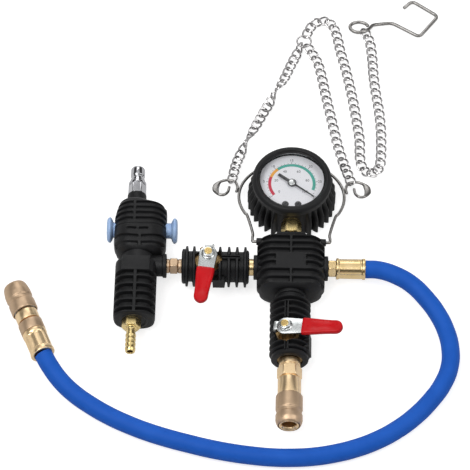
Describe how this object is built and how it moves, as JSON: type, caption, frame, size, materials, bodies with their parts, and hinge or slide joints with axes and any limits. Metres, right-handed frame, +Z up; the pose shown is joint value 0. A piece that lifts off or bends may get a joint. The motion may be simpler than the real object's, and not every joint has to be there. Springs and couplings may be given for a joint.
{
  "type": "coolant vacuum filler",
  "caption": "Air-driven coolant vacuum filler: gauge on a ribbed manifold, ball valves with red levers, venturi with slide valve, hose with quick coupler, bail, chain and hook.",
  "frame": {"origin": "on the bench under the middle of the tool's box, taken without the free hose and its far coupler", "axes": "+X along the side pipe towards the hose, +Y from the fill coupler towards the gauge, +Z up from the bench and out of the gauge's face"},
  "size_m": [0.4024, 0.5066, 0.0516],
  "materials": {
    "black_rubber": "satin moulded rubber",
    "yellow_brass": "bright turned brass",
    "satin_brass": "satin blasted brass",
    "zinc_plate": "bright zinc plate",
    "chrome_plate": "polished chrome plate",
    "red_vinyl": "glossy dipped vinyl",
    "blue_hose_rubber": "smooth satin hose cover",
    "blue_plastic": "glossy moulded plastic",
    "steel_wire": "dull drawn wire",
    "dial_white": "matt printed white",
    "pointer_black": "matt black",
    "clear_lens": "clear",
    "seat_white": "matt",
    "turned_aluminium": "machined"
  },
  "bodies": {
    "frame": {"manifold_boot": "black_rubber", "gauge_boot": "black_rubber", "vacuum_valve_boot": "black_rubber", "fill_valve_boot": "black_rubber", "venturi_boot": "black_rubber", "slide_valve_boot": "black_rubber", "manifold_block": "yellow_brass", "gauge_stem": "yellow_brass", "movement_frame": "yellow_brass", "bourdon_tube": "yellow_brass", "vacuum_valve_body": "yellow_brass", "vacuum_valve_retainer": "yellow_brass", "fill_valve_body": "yellow_brass", "fill_valve_retainer": "yellow_brass", "venturi_nozzle": "yellow_brass", "outlet_barb": "yellow_brass", "hose_adapter": "yellow_brass", "hose_ferrule": "yellow_brass", "vacuum_nipple": "satin_brass", "fill_nipple": "satin_brass", "union_nipple": "satin_brass", "venturi_body": "satin_brass", "fill_coupler_body": "satin_brass", "far_ferrule": "satin_brass", "far_coupler_body": "satin_brass", "gauge_case": "zinc_plate", "dial_screws": "zinc_plate", "fill_locking_balls": "zinc_plate", "fill_sleeve_spring": "zinc_plate", "far_sleeve_spring": "zinc_plate", "air_plug": "chrome_plate", "hose": "blue_hose_rubber", "gauge_dial": "dial_white", "gauge_lens": "clear_lens", "vacuum_ball_seats": "seat_white", "fill_ball_seats": "seat_white", "slide_valve_body": "turned_aluminium"},
    "vacuum_lever_turn": {"vacuum_ball": "zinc_plate", "vacuum_stem": "yellow_brass", "vacuum_lever": "zinc_plate", "vacuum_grip": "red_vinyl", "vacuum_lever_nut": "zinc_plate"},
    "fill_lever_turn": {"fill_ball": "zinc_plate", "fill_stem": "yellow_brass", "fill_lever": "zinc_plate", "fill_grip": "red_vinyl", "fill_lever_nut": "zinc_plate"},
    "spool_slider": {"valve_spool": "turned_aluminium", "spool_seals": "black_rubber", "push_knobs": "blue_plastic"},
    "gauge_pointer": {"needle": "pointer_black"},
    "gauge_sector": {"sector_gear": "yellow_brass"},
    "bail_and_chain": {"bail_wire_hoop": "steel_wire", "pigtail_eyes": "steel_wire", "chain_left": "zinc_plate", "chain_right": "zinc_plate", "chain_hanger": "zinc_plate"},
    "hook_swinger": {"hanging_hook": "steel_wire"},
    "fill_sleeve_slider": {"fill_sleeve": "satin_brass"},
    "far_sleeve_slider": {"far_sleeve": "satin_brass"}
  },
  "joints": [
    {"name": "vacuum_lever", "type": "hinge", "parent": "frame", "child": "vacuum_lever_turn", "pos_m": [-0.059, -0.0769, 0.019], "axis": [0, 0, 1], "range_deg": [-83, 7]},
    {"name": "fill_lever", "type": "hinge", "parent": "frame", "child": "fill_lever_turn", "pos_m": [0.014, -0.1494, 0.019], "axis": [-0.1908, 0, 0.9816], "range_deg": [-83, 7]},
    {"name": "spool_slide", "type": "slide", "parent": "frame", "child": "spool_slider", "axis": [1, 0, 0], "range_m": [-0.004, 0]},
    {"name": "needle_turn", "type": "hinge", "parent": "frame", "child": "gauge_pointer", "pos_m": [0.014, 0.0046, 0.03], "axis": [0, 0, 1], "range_deg": [0, 254]},
    {"name": "sector_turn", "type": "hinge", "parent": "frame", "child": "gauge_sector", "pos_m": [0.0017, 0.0046, 0.025], "axis": [0, 0, 1], "range_deg": [-50.8, 0]},
    {"name": "bail_swing", "type": "hinge", "parent": "frame", "child": "bail_and_chain", "pos_m": [0.014, -0.0554, 0.028], "axis": [1, 0, 0], "range_deg": [0, 105]},
    {"name": "hook_swing", "type": "hinge", "parent": "bail_and_chain", "child": "hook_swinger", "pos_m": [0.081, 0.1972, 0.005], "axis": [0, 0, 1], "range_deg": [-20, 20]},
    {"name": "fill_sleeve_slide", "type": "slide", "parent": "frame", "child": "fill_sleeve_slider", "axis": [0, -1, 0], "range_m": [-0.004, 0], "stiffness_N_per_m": 400, "springref_m": 0.003},
    {"name": "far_sleeve_slide", "type": "slide", "parent": "frame", "child": "far_sleeve_slider", "axis": [-0.3907, 0.9205, 0], "range_m": [-0.004, 0], "stiffness_N_per_m": 400, "springref_m": 0.003}
  ],
  "couplings": [
    {"joint": "sector_turn", "follows": "needle_turn", "ratio": -0.2}
  ]
}
